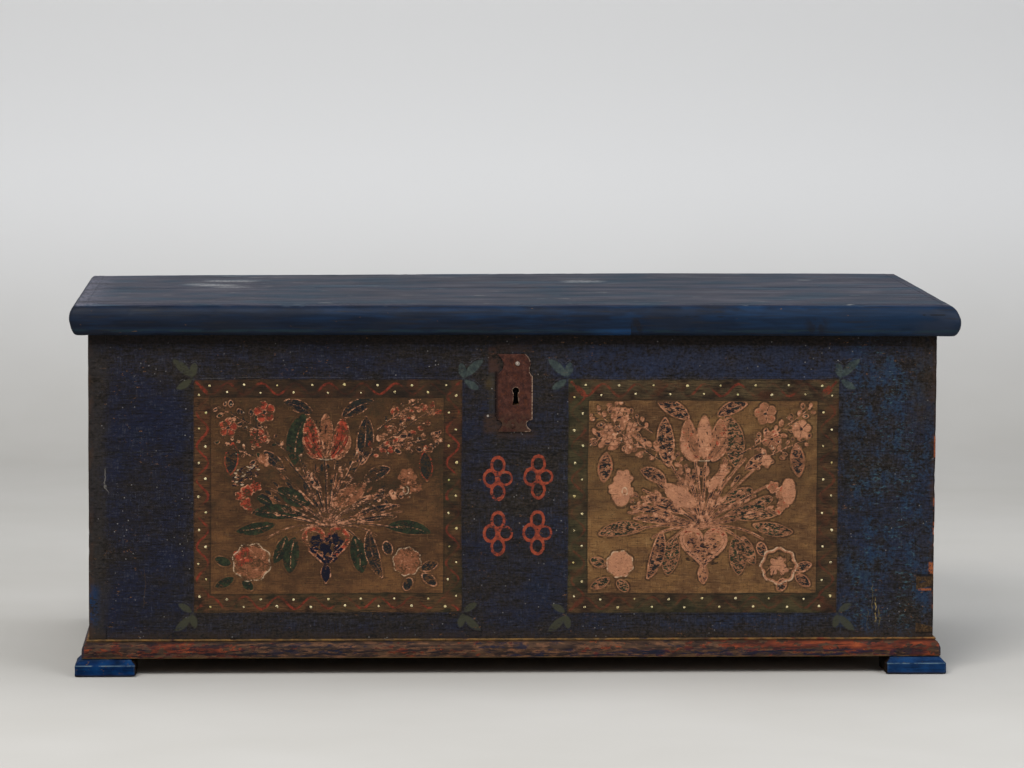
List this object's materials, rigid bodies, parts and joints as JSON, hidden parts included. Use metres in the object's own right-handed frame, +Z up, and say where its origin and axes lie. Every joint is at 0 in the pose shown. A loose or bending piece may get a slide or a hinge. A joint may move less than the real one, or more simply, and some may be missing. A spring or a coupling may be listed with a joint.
{
  "type": "blanket chest",
  "caption": "Low rectangular painted pine chest with a lipped hinged lid, plinth moulding, block feet, iron lock plate and inner till.",
  "frame": {"origin": "on the floor, under the middle of the lid's outline", "axes": "+X to the chest's right seen from the front, -Y out of the front with the lock, +Z up"},
  "size_m": [1.248, 0.594, 0.523],
  "materials": {
    "body_paint": "worn dark blue milk paint on pine, painted flower panels, semi-matte",
    "lid_paint": "worn grey-blue paint on pine, satin",
    "foot_paint": "bright blue paint, rubbed pale on the arrises, satin",
    "moulding_paint": "flaking rust-red paint over olive brown, matte",
    "aged_pine": "bare aged pine, dry and matte",
    "raw_pine": "bare pine kept from the light, matte",
    "rusty_iron": "thin iron sheet with brown rust",
    "dark_iron": "forged iron, dark with light rust"
  },
  "bodies": {
    "carcass": {"front_board_upper": "body_paint", "front_board_lower": "body_paint", "back_board_upper": "aged_pine", "back_board_lower": "aged_pine", "left_end_upper": "body_paint", "left_end_lower": "body_paint", "right_end_upper": "body_paint", "right_end_lower": "body_paint", "bottom_board_front": "aged_pine", "bottom_board_middle": "aged_pine", "bottom_board_rear": "aged_pine", "foot_front_left": "foot_paint", "foot_front_right": "foot_paint", "foot_rear_left": "foot_paint", "foot_rear_right": "foot_paint", "plinth_front": "moulding_paint", "plinth_left": "moulding_paint", "plinth_right": "moulding_paint", "till_front": "raw_pine", "till_bottom": "raw_pine", "hinge_leaf_left": "dark_iron", "hinge_pin_left": "dark_iron", "hinge_leaf_right": "dark_iron", "hinge_pin_right": "dark_iron", "leaf_nail_left_1": "dark_iron", "leaf_nail_left_2": "dark_iron", "leaf_nail_right_1": "dark_iron", "leaf_nail_right_2": "dark_iron", "lock_plate": "dark_iron", "lock_cover": "dark_iron", "lock_spring": "dark_iron", "ward_ring": "dark_iron", "lock_nail_1": "dark_iron", "lock_nail_2": "dark_iron", "lock_nail_3": "dark_iron", "lock_nail_4": "dark_iron", "escutcheon": "rusty_iron", "escutcheon_nail_top": "rusty_iron", "escutcheon_nail_bottom": "rusty_iron"},
    "lid": {"lid_board_front": "lid_paint", "lid_board_rear": "lid_paint", "lid_moulding_front": "lid_paint", "lid_moulding_left": "lid_paint", "lid_moulding_right": "lid_paint", "hinge_strap_left": "dark_iron", "hinge_strap_right": "dark_iron", "lid_hasp": "dark_iron", "hasp_nail_1": "dark_iron", "hasp_nail_2": "dark_iron", "strap_nail_left_1": "dark_iron", "strap_nail_left_2": "dark_iron", "strap_nail_left_3": "dark_iron", "strap_nail_right_1": "dark_iron", "strap_nail_right_2": "dark_iron", "strap_nail_right_3": "dark_iron"},
    "till_lid": {"till_lid": "raw_pine"},
    "bolt": {"lock_bolt": "dark_iron"}
  },
  "joints": [
    {"name": "lid_hinge", "type": "hinge", "parent": "carcass", "child": "lid", "pos_m": [-0.0025, 0.2753, 0.491], "axis": [-1, 0, 0], "range_deg": [0, 105]},
    {"name": "till_lid_hinge", "type": "hinge", "parent": "carcass", "child": "till_lid", "pos_m": [-0.568, 0, 0.38], "axis": [0, -1, 0], "range_deg": [0, 88]},
    {"name": "lock_bolt_slide", "type": "slide", "parent": "carcass", "child": "bolt", "axis": [1, 0, 0], "range_m": [0, 0.02]}
  ]
}
